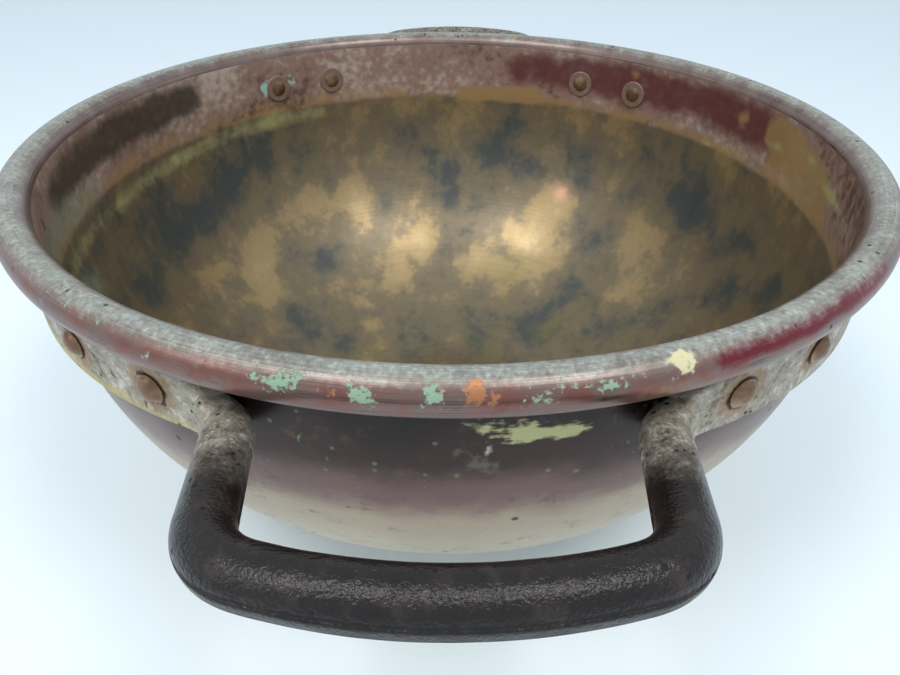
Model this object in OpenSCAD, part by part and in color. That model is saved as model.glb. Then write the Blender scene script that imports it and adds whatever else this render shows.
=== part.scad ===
// Round-bottomed copper mixing bowl with a wired rim and two forged iron carrying handles.
// The bowl's axis is Z, it stands on Z = 0, and the handles reach out along -Y and +Y.

/* [Bowl] */
// Diameter over the rolled rim
rim_d = 430; // [370:1:520]
// Diameter of the rolled rim in section
roll_d = 15.6; // [12:0.1:22]
// Thickness of the copper sheet
sheet_t = 2; // [1:0.1:3]
// Height of the upright band, from the centre of the rim down to the round body
band_h = 37; // [37:1:70]
// Depth that the round body would have with no flat under it
body_h = 165; // [120:1:195]
// Diameter of the flat that the bowl stands on
base_d = 120; // [60:1:180]
// Gap between the tucked edge of the roll and the wall
tuck_gap = 0.4; // [0.2:0.1:1.5]

/* [Handles] */
// Diameter of the bar
bar_d = 17; // [12:0.5:22]
// Distance between the two legs at the wall
leg_spacing = 140; // [115:1:180]
// Angle by which each leg leans in towards the grip
leg_lean = 9; // [0:0.5:14]
// Drop of the legs' ends below the centre of the rim
leg_drop = 25; // [20:0.5:40]
// Reach of the middle of the grip beyond the rim
grip_reach = 53; // [45:1:90]
// Drop of the grip below the centre of the rim
grip_drop = 9; // [-30:0.5:15]
// Outward bow of the grip between its corners
grip_bow = 12.5; // [6:0.5:20]
// Bend radius of the corners at the centre of the bar
corner_r = 22; // [16:0.5:36]
// Bend radius of the elbows at the wall
elbow_r = 14; // [12:0.5:24]
// Turn of the rear handle off the line of the front one
rear_turn = -1.5; // [-4:0.5:4]

/* [Flanges] */
// Thickness of the flattened ends of the bar
flange_t = 6.5; // [3:0.5:8]
// Width of the flattened ends, up and down the wall
flange_w = 29.5; // [22:0.5:34]
// Length of each flattened end along the wall, from the leg to the tip
flange_l = 134; // [90:1:150]
// Corner radius of the flange's tip
tip_r = 11; // [4:0.5:11]
// Gap between the top of the flange and the rolled rim
flange_gap = 1.5; // [0.2:0.1:3]

/* [Rivets] */
// Diameter of the shank
shank_d = 8; // [5:0.5:10]
// Diameter of the domed head
dome_d = 10.4; // [9:0.1:16]
// Height of the domed head
dome_h = 2.6; // [1.5:0.1:4]
// Diameter of the thin brim around the head
brim_d = 12; // [10:0.1:18]
// Thickness of the brim
brim_t = 0.8; // [0.4:0.1:1.5]
// Diameter of the washer inside the bowl
burr_d = 18; // [14:0.5:24]
// Thickness of the washer
burr_t = 1.2; // [0.8:0.1:3]
// Diameter of the hammered tail over the washer
tail_d = 10.6; // [9:0.1:14]
// Height of the hammered tail
tail_h = 1.2; // [1:0.1:3]
// Distance along the wall from the leg to the first rivet
rivet_first = 30; // [26:1:40]
// Distance along the wall between the two rivets
rivet_pitch = 44; // [25:1:50]
// Drop of the rivets below the centre of the rim
rivet_drop = 20.5; // [17:0.5:24]
// Clear space between the thinned end of the bar and the brim of the first rivet
head_gap = 1.5; // [0.5:0.1:3]
// Clearance around the shank, and around the wire inside the roll
fit_gap = 0.05; // [0.02:0.01:0.2]

/* [Hidden] */
$fn = 128;

// Rim and wall
roll_r = roll_d / 2;
roll_c = rim_d / 2 - roll_r;
wall_in = roll_c - roll_r;
wall_out = wall_in + sheet_t;
tuck_a = acos((roll_r - sheet_t - tuck_gap) / roll_r);

// The round body is a four-centre oval: a side arc and a bottom arc that meet in line
oval_l = sqrt(pow(wall_out, 2) + pow(body_h, 2));
oval_e = wall_out - body_h;
side_r = (oval_l - oval_e) / 2 * oval_l / wall_out;
bottom_r = (oval_l + oval_e) / 2 * oval_l / body_h;
side_x = wall_out - side_r;
bottom_z = bottom_r - body_h;
meet_a = atan2(side_x, bottom_z);

// Heights above the flat base
band_z = sqrt(pow(bottom_r, 2) - pow(base_d / 2, 2)) - bottom_z;
rim_z = band_z + band_h;
flange_z = rim_z - roll_r - flange_gap - flange_w;
rivet_z = rim_z - rivet_drop;

// The handle's path lies in a plane that starts at the flange and tilts up to the grip
flange_mid = wall_out + flange_t / 2;
flange_out = wall_out + flange_t;
leg_x = leg_spacing / 2;
leg_y = sqrt(pow(flange_mid, 2) - pow(leg_x, 2));
leg_a = asin(leg_x / flange_mid);
grip_y = rim_d / 2 + grip_reach;
tilt = atan2(leg_drop - grip_drop, grip_y - leg_y);
grip_v = (grip_y - leg_y) / cos(tilt);
corner_v = grip_v - grip_bow;
corner_x = leg_x - corner_v * tan(leg_lean);
grip_r = (pow(corner_x, 2) + pow(grip_bow, 2)) / (2 * grip_bow);
grip_c = grip_v - grip_r;

// The corner's arc touches the leg's line and the grip's arc
from_grip = [leg_x - corner_r * cos(leg_lean), -corner_r * sin(leg_lean) - grip_c];
along = from_grip * [-sin(leg_lean), cos(leg_lean)];
leg_end = sqrt(pow(along, 2) - from_grip * from_grip + pow(grip_r - corner_r, 2)) - along;
corner_c = from_grip + leg_end * [-sin(leg_lean), cos(leg_lean)];
grip_a = atan2(corner_c[1], corner_c[0]);

// The elbow turns the bar from the leg to the line of the wall
elbow_turn = 90 - leg_lean - leg_a - arc_a(elbow_r);
leg_start = elbow_r * (sin(leg_lean + elbow_turn) - sin(leg_lean));
elbow_c = [leg_x - leg_start * tan(leg_lean), leg_start] + elbow_r * [cos(leg_lean), sin(leg_lean)];
taper_a = leg_lean + elbow_turn - 90;
elbow_end = elbow_c + elbow_r * [sin(taper_a), -cos(taper_a)];
elbow_end_a = atan2(elbow_end[0], leg_y + elbow_end[1] * cos(tilt));
elbow_l = (elbow_end_a - leg_a) * PI / 180 * flange_mid;
taper_l = rivet_first - brim_d / 2 - head_gap - elbow_l;
taper_end = elbow_end + taper_l * [cos(taper_a), sin(taper_a)];
bar_sides = 24;
flange_mid_a = leg_a + arc_a(flange_l / 2);

// Rivets, seated on the flange outside and on the washer inside
burr_y = sqrt(pow(wall_in, 2) - pow(burr_d / 2, 2));
tail_y = burr_y - burr_t;
hole_d = shank_d + 2 * fit_gap;
hole_l = 2 * (flange_out - tail_y);
RIVETS = [rivet_first, rivet_first + rivet_pitch];
FRONT = 180;
REAR = rear_turn;
far = 2 * rim_d;

// Angle that a length along the flange takes up around the bowl
function arc_a(length) = length / flange_mid * 180 / PI;

// Half outline of the wall with its flat bottom, drawn in by a thickness
module wall_outline(inset) {
    translate([0, band_z])
        square([wall_out - inset, band_h]);
    intersection() {
        translate([0, inset])
            square([far, band_z - inset]);
        translate([0, band_z]) {
            translate([side_x, 0])
                circle(r = side_r - inset);
            intersection() {
                translate([0, bottom_z])
                    circle(r = bottom_r - inset);
                polygon([[0, bottom_z], [far * sin(meet_a), bottom_z - far * cos(meet_a)], [0, -far]]);
            }
        }
    }
}

// Section of the rim: sheet curled out and over the wire, and tucked back to the wall
module roll_section() {
    translate([roll_c, rim_z])
        difference() {
            circle(r = roll_r);
            circle(r = roll_r - sheet_t);
            polygon(roll_d * [[0, 0], [-1, 0], [-cos(tuck_a), -sin(tuck_a)]]);
        }
}

// Carries a piece drawn on +Y at the middle of the bowl to a rivet's place
module at_rivet(end, side, length) {
    rotate(end - side * (leg_a + arc_a(length)))
        translate([0, 0, rivet_z])
            rotate([-90, 0, 0])
                children();
}

// The hole of one rivet, from inside the washer to well outside the flange
module rivet_hole() {
    translate([0, 0, tail_y])
        cylinder(d = hole_d, h = hole_l);
}

module rivet_holes(end) {
    for (side = [-1, 1], length = RIVETS)
        at_rivet(end, side, length)
            rivet_hole();
}

module bowl_shell() {
    color("#8a5a44")
        difference() {
            union() {
                rotate_extrude()
                    difference() {
                        wall_outline(0);
                        wall_outline(sheet_t);
                    }
                rotate_extrude()
                    roll_section();
            }
            rivet_holes(FRONT);
            rivet_holes(REAR);
        }
}

module rim_wire() {
    color("#5b5552")
        translate([0, 0, rim_z])
            rotate_extrude()
                translate([roll_c, 0])
                    circle(r = roll_r - sheet_t - fit_gap);
}

// Stations along half of the bar, from the middle of the grip to the thin end under the flange.
// Each one is [across, outward, heading, radius of the bar].
function arc_stations(centre, radius, first, last, count, side) = [
    for (i = [0 : count])
        let (a = first + (last - first) * i / count)
            [centre[0] + radius * cos(a), centre[1] + radius * sin(a), a + side * 90, bar_d / 2]
];

half_stations = concat(
    arc_stations([0, grip_c], grip_r, 90, grip_a, 6, -1),
    arc_stations([0, grip_c] + corner_c, corner_r, grip_a, leg_lean, 8, -1),
    arc_stations(elbow_c, elbow_r, 180 + leg_lean, 180 + leg_lean + elbow_turn, 6, 1),
    [[taper_end[0], taper_end[1], taper_a, flange_t / 2]]
);
stations = concat(
    [for (i = [len(half_stations) - 1 : -1 : 1])
        let (s = half_stations[i]) [-s[0], s[1], -s[2], s[3]]],
    half_stations
);
ring_points = [
    for (s = stations, k = [0 : bar_sides - 1])
        let (across = s[3] * cos(360 * k / bar_sides), up = s[3] * sin(360 * k / bar_sides))
            [s[0] - across * sin(s[2]), s[1] + across * cos(s[2]), up]
];
last_ring = (len(stations) - 1) * bar_sides;
ring_faces = concat(
    [[for (k = [0 : bar_sides - 1]) k]],
    [for (j = [0 : len(stations) - 2], k = [0 : bar_sides - 1])
        let (here = j * bar_sides, after = (k + 1) % bar_sides)
            [here + k, here + bar_sides + k, here + bar_sides + after, here + after]],
    [[for (k = [bar_sides - 1 : -1 : 0]) last_ring + k]]
);

// The bar as one sweep: grip, corners, legs, elbows and thinned ends, in the plane of the handle
module bar() {
    polyhedron(ring_points, ring_faces);
}

// Outline of the flattened end as seen from inside the bowl, so that its tip is on the left
module flange_outline() {
    half_l = flange_mid * sin(arc_a(flange_l / 2));
    translate([tip_r - half_l, 0])
        square([2 * half_l - tip_r, flange_w]);
    translate([-half_l, tip_r])
        square([half_l, flange_w - 2 * tip_r]);
    for (z = [tip_r, flange_w - tip_r])
        translate([tip_r - half_l, z])
            circle(r = tip_r);
}

module flange() {
    difference() {
        intersection() {
            translate([0, 0, flange_z])
                difference() {
                    cylinder(r = flange_out, h = flange_w);
                    cylinder(r = wall_out, h = flange_w);
                }
            rotate(180 - flange_mid_a)
                translate([0, 0, flange_z])
                    rotate([90, 0, 0])
                        linear_extrude(height = far)
                            flange_outline();
        }
        for (length = RIVETS)
            at_rivet(0, 1, length)
                rivet_hole();
    }
}

// One forged piece: bar, elbows and flanges, with its back dressed to the wall
module handle(end) {
    color("#4a413d")
        rotate(end) {
            difference() {
                translate([0, leg_y, rim_z - leg_drop])
                    rotate([tilt, 0, 0])
                        bar();
                cylinder(r = wall_out, h = far);
            }
            flange();
            mirror([1, 0, 0])
                flange();
        }
}

// Dome of a given diameter and height, flat side down
module dome(d, h) {
    ball_r = (pow(d / 2, 2) + pow(h, 2)) / (2 * h);
    rotate_extrude()
        intersection() {
            translate([0, h - ball_r])
                circle(r = ball_r);
            square([d / 2, h]);
        }
}

module rivet(end, side, length) {
    color("#7c5a45")
        at_rivet(end, side, length) {
            translate([0, 0, tail_y])
                cylinder(d = shank_d, h = flange_out - tail_y);
            translate([0, 0, flange_out]) {
                cylinder(d = brim_d, h = brim_t);
                translate([0, 0, brim_t])
                    dome(dome_d, dome_h);
            }
            translate([0, 0, tail_y])
                mirror([0, 0, 1])
                    dome(tail_d, tail_h);
        }
}

module burr(end, side, length) {
    color("#9a7a62")
        at_rivet(end, side, length)
            translate([0, 0, tail_y])
                difference() {
                    cylinder(d = burr_d, h = burr_t);
                    translate([0, 0, -burr_t])
                        cylinder(d = hole_d, h = 3 * burr_t);
                }
}

bowl_shell();
rim_wire();
handle(FRONT);  // front_handle
handle(REAR);  // rear_handle
rivet(FRONT, 1, RIVETS[0]);  // front_left_inner_rivet
rivet(FRONT, 1, RIVETS[1]);  // front_left_outer_rivet
rivet(FRONT, -1, RIVETS[0]);  // front_right_inner_rivet
rivet(FRONT, -1, RIVETS[1]);  // front_right_outer_rivet
rivet(REAR, -1, RIVETS[0]);  // rear_left_inner_rivet
rivet(REAR, -1, RIVETS[1]);  // rear_left_outer_rivet
rivet(REAR, 1, RIVETS[0]);  // rear_right_inner_rivet
rivet(REAR, 1, RIVETS[1]);  // rear_right_outer_rivet
burr(FRONT, 1, RIVETS[0]);  // front_left_inner_burr
burr(FRONT, 1, RIVETS[1]);  // front_left_outer_burr
burr(FRONT, -1, RIVETS[0]);  // front_right_inner_burr
burr(FRONT, -1, RIVETS[1]);  // front_right_outer_burr
burr(REAR, -1, RIVETS[0]);  // rear_left_inner_burr
burr(REAR, -1, RIVETS[1]);  // rear_left_outer_burr
burr(REAR, 1, RIVETS[0]);  // rear_right_inner_burr
burr(REAR, 1, RIVETS[1]);  // rear_right_outer_burr
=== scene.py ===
import math

import bmesh
import bpy
import numpy as np
from mathutils import Matrix, Vector, noise


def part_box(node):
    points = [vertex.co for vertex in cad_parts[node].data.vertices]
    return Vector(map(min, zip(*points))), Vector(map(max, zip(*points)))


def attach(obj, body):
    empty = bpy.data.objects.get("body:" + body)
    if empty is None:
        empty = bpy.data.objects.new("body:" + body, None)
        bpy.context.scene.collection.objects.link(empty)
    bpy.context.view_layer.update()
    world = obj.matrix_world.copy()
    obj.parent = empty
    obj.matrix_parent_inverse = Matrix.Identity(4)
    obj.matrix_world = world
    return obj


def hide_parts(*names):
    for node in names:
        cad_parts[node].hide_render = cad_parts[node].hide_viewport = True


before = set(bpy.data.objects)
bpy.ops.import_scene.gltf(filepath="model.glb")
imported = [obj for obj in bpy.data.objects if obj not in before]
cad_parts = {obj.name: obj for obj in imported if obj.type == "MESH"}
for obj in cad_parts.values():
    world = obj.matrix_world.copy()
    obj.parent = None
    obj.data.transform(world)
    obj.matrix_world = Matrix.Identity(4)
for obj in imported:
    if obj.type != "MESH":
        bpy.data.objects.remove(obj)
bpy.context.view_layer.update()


# ---------------------------------------------------------------------------
# The bowl. One sheet of copper, raised to a round bottom with an upright band
# at the top, its edge curled out and over an iron wire and tucked back to the
# wall. The sheet is 2 mm thick and carries a century of patina.
# ---------------------------------------------------------------------------
shell_low, shell_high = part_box("bowl_shell")
wire_low, wire_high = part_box("rim_wire")
MM = 0.001
SHEET = 2 * MM
BAND_H = 37 * MM
BODY_H = 165 * MM
TUCK_GAP = 0.4 * MM
BOWL_SIDES = 384

rim_z = (wire_low.z + wire_high.z) / 2
roll_r = shell_high.z - rim_z
roll_c = shell_high.x - roll_r
wall_in = roll_c - roll_r
wall_out = wall_in + SHEET
band_z = rim_z - BAND_H
oval_l = math.hypot(wall_out, BODY_H)
oval_e = wall_out - BODY_H
side_r = (oval_l - oval_e) / 2 * oval_l / wall_out
bottom_r = (oval_l + oval_e) / 2 * oval_l / BODY_H
side_x = wall_out - side_r
bottom_z = band_z + bottom_r - BODY_H
meet_a = math.atan2(side_x, bottom_r - BODY_H)


def arc(centre, radius, first, last, count):
    """Points along an arc, its two ends included. Angles are in radians, 0 along +X."""
    angles = [first + (last - first) * i / count for i in range(count + 1)]
    return [(centre[0] + radius * math.cos(a), centre[1] + radius * math.sin(a)) for a in angles]


def wall_section(inset, blend):
    """Half section of the wall from the middle of its foot up to the band. The foot and the
    round bottom run into each other over a soft edge whose height is set by blend."""
    down = -math.pi / 2
    low = arc((0, bottom_z), bottom_r - inset, down, down + meet_a, 30)
    soft = [(r, inset + (z - inset + math.hypot(z - inset, blend)) / 2) for r, z in low]
    high = arc((side_x, band_z), side_r - inset, down + meet_a, 0, 36)
    return soft[:-1] + high


def roll_section():
    """The curl from the top of the outer wall, round the wire and back, then over the outside."""
    tuck_a = math.acos((roll_r - SHEET - TUCK_GAP) / roll_r)
    centre = (roll_c, rim_z)
    under = arc(centre, roll_r - SHEET, math.pi, tuck_a - math.pi, 22)
    over = arc(centre, roll_r, tuck_a - math.pi, math.pi, 62)
    return under, over


outer_wall = wall_section(0, 0.6 * MM)
inner_wall = wall_section(SHEET, 3 * MM)
band_steps = [i / 6 for i in range(1, 6)]
outer_band = [(wall_out, band_z + BAND_H * t) for t in band_steps]
inner_band = [(wall_in, band_z + BAND_H * t) for t in band_steps]
roll_under, roll_over = roll_section()
bowl_section = (outer_wall + outer_band + roll_under + roll_over
                + inner_band[::-1] + inner_wall[::-1])
ROLL_FIRST = len(outer_wall) + len(outer_band) + len(roll_under)
ROLL_LAST = ROLL_FIRST + len(roll_over) - 2


def section_mesh(name, section):
    """A mesh of loose points, one for each point of a half section, in order."""
    mesh = bpy.data.meshes.new(name)
    mesh.from_pydata([(r, 0, z) for r, z in section], [], [])
    return mesh


def new_tree(name, inputs):
    """An empty geometry tree with a geometry in and out and the given named inputs."""
    tree = bpy.data.node_groups.new(name, "GeometryNodeTree")
    face = tree.interface
    face.new_socket("Geometry", in_out="INPUT", socket_type="NodeSocketGeometry")
    for label, kind in inputs:
        face.new_socket(label, in_out="INPUT", socket_type=kind)
    face.new_socket("Geometry", in_out="OUTPUT", socket_type="NodeSocketGeometry")
    return tree


def add_node(tree, kind, links=(), **settings):
    """Adds a node, sets its properties, and feeds its sockets by (socket, value or output)."""
    node = tree.nodes.new(kind)
    for key, value in settings.items():
        setattr(node, key, value)
    for socket, value in links:
        if isinstance(value, bpy.types.NodeSocket):
            tree.links.new(value, node.inputs[socket])
        else:
            node.inputs[socket].default_value = value
    return node


def calc(tree, operation, *values):
    links = list(enumerate(values))
    return add_node(tree, "ShaderNodeMath", links, operation=operation).outputs[0]


def vector(tree, operation, *values):
    links = list(enumerate(values))
    return add_node(tree, "ShaderNodeVectorMath", links, operation=operation).outputs[0]


def turned_tree():
    """Turns a half section about Z: one column of points for each side, seam and poles merged."""
    tree = new_tree("turned_form", [("Sides", "NodeSocketInt")])
    given = tree.nodes.new("NodeGroupInput")
    size = add_node(tree, "GeometryNodeAttributeDomainSize", [("Geometry", given.outputs[0])])
    rows = size.outputs["Point Count"]
    sides = given.outputs["Sides"]
    grid = add_node(tree, "GeometryNodeMeshGrid",
                    [("Vertices X", calc(tree, "ADD", sides, 1)), ("Vertices Y", rows)])
    index = tree.nodes.new("GeometryNodeInputIndex").outputs[0]
    row = calc(tree, "MODULO", index, rows)
    column = calc(tree, "FLOOR", calc(tree, "DIVIDE", calc(tree, "ADD", index, 0.5), rows))
    angle = calc(tree, "MULTIPLY", calc(tree, "DIVIDE", column, sides), 2 * math.pi)
    place = tree.nodes.new("GeometryNodeInputPosition").outputs[0]
    point = add_node(tree, "GeometryNodeSampleIndex",
                     [("Geometry", given.outputs[0]), ("Value", place), ("Index", row)],
                     data_type="FLOAT_VECTOR")
    parts = add_node(tree, "ShaderNodeSeparateXYZ", [(0, point.outputs[0])]).outputs
    across = calc(tree, "MULTIPLY", parts[0], calc(tree, "COSINE", angle))
    along = calc(tree, "MULTIPLY", parts[0], calc(tree, "SINE", angle))
    turned = add_node(tree, "ShaderNodeCombineXYZ", [(0, across), (1, along), (2, parts[2])])
    moved = add_node(tree, "GeometryNodeSetPosition",
                     [("Geometry", grid.outputs[0]), ("Position", turned.outputs[0])])
    rowed = add_node(tree, "GeometryNodeStoreNamedAttribute",
                     [("Geometry", moved.outputs[0]), ("Name", "row"), ("Value", row)],
                     data_type="FLOAT", domain="POINT")
    merged = add_node(tree, "GeometryNodeMergeByDistance",
                      [("Geometry", rowed.outputs[0]), ("Distance", 0.00001)])
    bend = tree.nodes.new("GeometryNodeInputMeshEdgeAngle").outputs["Unsigned Angle"]
    soft = add_node(tree, "FunctionNodeCompare", [("A", bend), ("B", 0.7)], operation="LESS_THAN")
    shaded = add_node(tree, "GeometryNodeSetShadeSmooth",
                      [("Geometry", merged.outputs[0]), ("Shade Smooth", soft.outputs[0])],
                      domain="EDGE")
    given_out = tree.nodes.new("NodeGroupOutput")
    tree.links.new(shaded.outputs[0], given_out.inputs[0])
    return tree


turned = turned_tree()


def bowl_tree():
    """The turned sheet with the slight unevenness of beaten copper, and its three finishes."""
    tree = new_tree("beaten_bowl", [
        ("Sides", "NodeSocketInt"), ("Dent Depth", "NodeSocketFloat"),
        ("Dent Size", "NodeSocketFloat"), ("First Roll Row", "NodeSocketInt"),
        ("Last Roll Row", "NodeSocketInt"), ("Outside", "NodeSocketMaterial"),
        ("Rim", "NodeSocketMaterial"), ("Inside", "NodeSocketMaterial")])
    given = tree.nodes.new("NodeGroupInput").outputs
    form = add_node(tree, "GeometryNodeGroup", node_tree=turned)
    tree.links.new(given["Geometry"], form.inputs["Geometry"])
    tree.links.new(given["Sides"], form.inputs["Sides"])
    place = tree.nodes.new("GeometryNodeInputPosition").outputs[0]
    waves = add_node(tree, "ShaderNodeTexNoise",
                     [("Vector", place), ("Scale", calc(tree, "DIVIDE", 1, given["Dent Size"])),
                      ("Detail", 1.5)]).outputs[0]
    height = add_node(tree, "ShaderNodeSeparateXYZ", [(0, place)]).outputs[2]
    free = add_node(tree, "ShaderNodeMapRange",
                    [("Value", height), ("From Min", 4 * MM), ("From Max", 40 * MM)]).outputs[0]
    inward = calc(tree, "MULTIPLY", calc(tree, "MULTIPLY", waves, free),
                  calc(tree, "MULTIPLY", given["Dent Depth"], -1))
    heading = vector(tree, "NORMALIZE", vector(tree, "MULTIPLY", place, (1, 1, 0)))
    push = add_node(tree, "ShaderNodeVectorMath", [(0, heading), ("Scale", inward)],
                    operation="SCALE").outputs[0]
    dented = add_node(tree, "GeometryNodeSetPosition",
                      [("Geometry", form.outputs[0]), ("Offset", push)])
    last = add_node(tree, "GeometryNodeRealizeInstances", [("Geometry", dented.outputs[0])])
    row = add_node(tree, "GeometryNodeInputNamedAttribute", [("Name", "row")], data_type="FLOAT")
    row = row.outputs[0]
    zones = (("Outside", "LESS_THAN", given["First Roll Row"]),
             ("Rim", "GREATER_EQUAL", given["First Roll Row"]),
             ("Inside", "GREATER_EQUAL", given["Last Roll Row"]))
    for finish, test, limit in zones:
        here = add_node(tree, "FunctionNodeCompare", [("A", row), ("B", limit)], operation=test)
        last = add_node(tree, "GeometryNodeSetMaterial",
                        [("Geometry", last.outputs[0]), ("Selection", here.outputs[0]),
                         ("Material", given[finish])])
    tree.links.new(last.outputs[0], tree.nodes.new("NodeGroupOutput").inputs[0])
    return tree


def grow(name, mesh, tree, sizes):
    """Runs a geometry tree on a mesh with the given inputs and returns the plain result."""
    source = bpy.data.objects.new(name + "_source", mesh)
    bpy.context.collection.objects.link(source)
    modifier = source.modifiers.new("form", "NODES")
    modifier.node_group = tree
    for socket in tree.interface.items_tree:
        if socket.in_out == "INPUT" and socket.name in sizes:
            modifier[socket.identifier] = sizes[socket.name]
    bpy.context.view_layer.update()
    seen = source.evaluated_get(bpy.context.evaluated_depsgraph_get())
    plain = bpy.data.meshes.new_from_object(seen)
    plain.name = name
    bpy.data.objects.remove(source)
    piece = bpy.data.objects.new(name, plain)
    bpy.context.collection.objects.link(piece)
    return piece


def tone(red, green, blue):
    """A colour given in screen values from 0 to 255, turned to linear light."""
    def linear(value):
        value = value / 255
        return value / 12.92 if value <= 0.04045 else ((value + 0.055) / 1.055) ** 2.4
    return (linear(red), linear(green), linear(blue), 1)


class Finish:
    """A metal surface built up coat by coat: colour, roughness, metal and relief."""

    def __init__(self, name, colour, rough, metal):
        self.material = bpy.data.materials.new(name)
        self.material.use_nodes = True
        self.tree = self.material.node_tree
        self.tree.nodes.clear()
        self.place = self.tree.nodes.new("ShaderNodeTexCoord").outputs["Object"]
        parts = add_node(self.tree, "ShaderNodeSeparateXYZ", [(0, self.place)]).outputs
        self.x, self.y, self.z = parts
        self.radius = calc(self.tree, "SQRT", self.sum(self.mul(self.x, self.x),
                                                       self.mul(self.y, self.y)))
        self.drop = self.mul(self.sub(rim_z, self.z), 1 / MM)
        self.colour = colour
        self.rough = rough
        self.metal = metal
        self.relief = 0.0

    def sum(self, *values):
        total = values[0]
        for value in values[1:]:
            total = calc(self.tree, "ADD", total, value)
        return total

    def sub(self, a, b):
        return calc(self.tree, "SUBTRACT", a, b)

    def mul(self, *values):
        product = values[0]
        for value in values[1:]:
            product = calc(self.tree, "MULTIPLY", product, value)
        return product

    def mark(self, name):
        """A mask that is kept on the mesh itself."""
        return add_node(self.tree, "ShaderNodeAttribute", attribute_name=name).outputs["Fac"]

    def fade(self, value, low, high):
        """0 at low, 1 at high, and a soft step between them."""
        links = [("Value", value), ("From Min", low), ("From Max", high)]
        return add_node(self.tree, "ShaderNodeMapRange", links,
                        interpolation_type="SMOOTHSTEP").outputs[0]

    def where(self, low, high, *values):
        """0 where the values together stay under low, 1 where they pass high."""
        return self.fade(self.sum(*values), low, high)

    def cloud(self, size, detail=3, seed=0.0, stretch=None, crisp=0.55):
        """Noise from -1 to 1 whose lumps are about the given size in millimetres."""
        place = self.place
        if stretch:
            place = vector(self.tree, "MULTIPLY", place, stretch)
        links = [("Vector", place), ("Scale", 1000 / size), ("Detail", detail),
                 ("Roughness", crisp), ("W", seed)]
        raw = add_node(self.tree, "ShaderNodeTexNoise", links, noise_dimensions="4D").outputs[0]
        return self.mul(self.sub(raw, 0.5), 4)

    def along_rim(self, size, detail=3, seed=0.0):
        """Noise drawn out along the rim, for rubbing marks."""
        place = vector(self.tree, "MULTIPLY", self.place, (0.12, 0.12, 1))
        links = [("Vector", place), ("Scale", 1000 / size), ("Detail", detail),
                 ("W", self.sum(self.mul(self.radius, 1000 / size), seed))]
        raw = add_node(self.tree, "ShaderNodeTexNoise", links, noise_dimensions="4D").outputs[0]
        return self.mul(self.sub(raw, 0.5), 4)

    def specks(self, size, fill, seed=0.0):
        """Small round specks, a given share of the cells filled."""
        links = [("Vector", self.place), ("Scale", 1000 / size), ("W", seed)]
        cells = add_node(self.tree, "ShaderNodeTexVoronoi", links, voronoi_dimensions="4D")
        red = add_node(self.tree, "ShaderNodeSeparateColor", [(0, cells.outputs["Color"])])
        chosen = self.fade(red.outputs[0], 1 - fill, 1 - fill + 0.02)
        return self.mul(self.fade(cells.outputs["Distance"], 0.42, 0.2), chosen)

    def facing(self, azimuth, half, soft=8):
        """The sector of the bowl about an azimuth, degrees from the front towards +X."""
        angle = math.radians(azimuth)
        heading = (math.sin(angle), -math.cos(angle), 0)
        flat = vector(self.tree, "MULTIPLY", self.place, (1, 1, 0))
        links = [(0, vector(self.tree, "NORMALIZE", flat)), (1, heading)]
        cosine = add_node(self.tree, "ShaderNodeVectorMath", links,
                          operation="DOT_PRODUCT").outputs["Value"]
        return self.fade(cosine, math.cos(math.radians(half + soft)), math.cos(math.radians(half)))

    def blend(self, mask, old, new):
        links = [(0, mask), (2, old), (3, new)]
        return add_node(self.tree, "ShaderNodeMix", links, data_type="FLOAT").outputs[0]

    def tint(self, mask, old, new):
        links = [(0, mask), (6, old), (7, new)]
        return add_node(self.tree, "ShaderNodeMix", links, data_type="RGBA").outputs[2]

    def shades(self, value, stops):
        """A soft run of colours along a value: (place, colour) in order."""
        ramp = add_node(self.tree, "ShaderNodeValToRGB", [(0, value)])
        band = ramp.color_ramp
        band.interpolation = "EASE"
        while len(band.elements) < len(stops):
            band.elements.new(0.5)
        for element, (position, colour) in zip(band.elements, stops):
            element.position = position
            element.color = colour
        return ramp.outputs[0]

    def grade(self, value, reach, dark, middle, pale):
        """Dark below -reach, pale above it, and the middle colour half way."""
        stops = [(0.0, dark), (0.5, middle), (1.0, pale)]
        return self.shades(self.fade(value, -reach, reach), stops)

    def coat(self, mask, colour=None, rough=None, metal=None, relief=None):
        if colour is not None:
            self.colour = self.tint(mask, self.colour, colour)
        if rough is not None:
            self.rough = self.blend(mask, self.rough, rough)
        if metal is not None:
            self.metal = self.blend(mask, self.metal, metal)
        if relief is not None:
            self.relief = self.sum(self.relief, self.mul(mask, relief))

    def raise_by(self, value):
        self.relief = self.sum(self.relief, value)

    def done(self, specular=0.5):
        links = [("Base Color", self.colour), ("Roughness", self.rough),
                 ("Metallic", self.metal), ("Specular IOR Level", specular)]
        if isinstance(self.relief, bpy.types.NodeSocket):
            bump = add_node(self.tree, "ShaderNodeBump",
                            [("Height", self.relief), ("Distance", MM), ("Strength", 1.0)])
            links.append(("Normal", bump.outputs[0]))
        shader = add_node(self.tree, "ShaderNodeBsdfPrincipled", links)
        out = self.tree.nodes.new("ShaderNodeOutputMaterial")
        self.tree.links.new(shader.outputs[0], out.inputs[0])
        return self.material


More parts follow.
